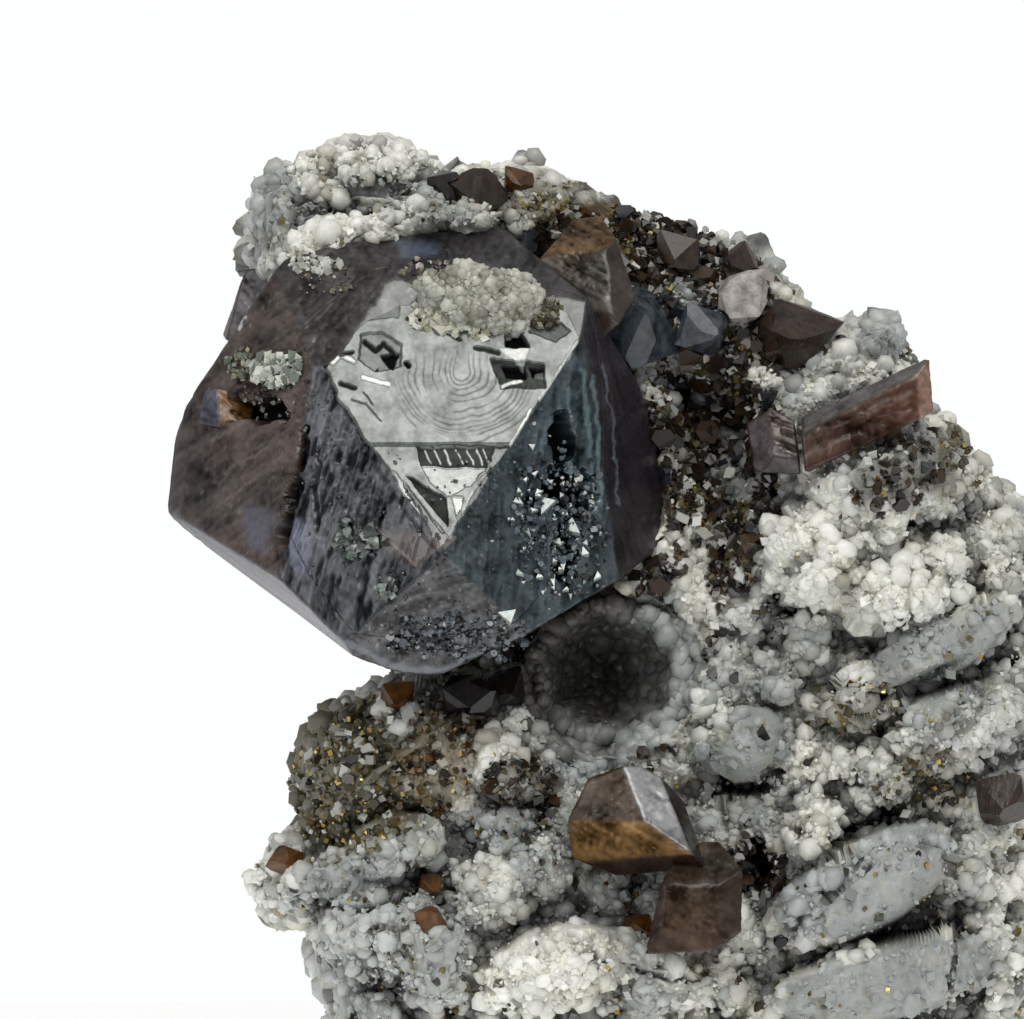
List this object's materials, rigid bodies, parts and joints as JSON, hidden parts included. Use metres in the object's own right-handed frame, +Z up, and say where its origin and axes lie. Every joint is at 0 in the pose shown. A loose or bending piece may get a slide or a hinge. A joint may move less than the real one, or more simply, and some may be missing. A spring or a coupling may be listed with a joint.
{
  "type": "sphalerite specimen",
  "caption": "Cabinet mineral specimen: a great dark sphalerite crystal and smaller brown ones on a drusy grey-white carbonate matrix with a small vug.",
  "frame": {"origin": "on the resting plane, under the middle of the specimen's box", "axes": "+Z up, +X to the right as seen from the display side, +Y from the display side into the rock"},
  "size_m": [0.0742, 0.045, 0.0767],
  "materials": {
    "matrix": "rough broken carbonate rock with sugary druse",
    "druse": "sparkling crusts of small white crystals",
    "dark_sphalerite": "submetallic, striated natural crystal faces",
    "brown_sphalerite": "resinous natural crystal faces",
    "amber_sphalerite": "resinous, slightly see-through crystal faces"
  },
  "bodies": {
    "root": {"matrix_rock": "matrix", "vug_crust": "druse", "crystal_druse": "druse", "great_crystal": "dark_sphalerite", "dark_foot_group": "dark_sphalerite", "behind_crystal": "brown_sphalerite", "blade_crystal": "brown_sphalerite", "blade_side_crystal": "brown_sphalerite", "amber_ridge_group": "brown_sphalerite", "lower_crystal_group": "brown_sphalerite", "left_ridge_crystal": "brown_sphalerite", "grey_ridge_crystal": "brown_sphalerite", "blue_ridge_crystal": "brown_sphalerite", "flash_ridge_crystal": "brown_sphalerite", "right_ridge_crystal": "brown_sphalerite", "crest_crystal_1": "brown_sphalerite", "crest_crystal_2": "brown_sphalerite", "crest_crystal_3": "brown_sphalerite", "brown_edge_crystal": "brown_sphalerite", "amber_grain_1": "amber_sphalerite", "amber_grain_2": "amber_sphalerite", "amber_grain_3": "amber_sphalerite", "amber_grain_4": "amber_sphalerite", "amber_grain_5": "amber_sphalerite", "amber_grain_6": "amber_sphalerite", "amber_grain_7": "amber_sphalerite"}
  },
  "joints": []
}
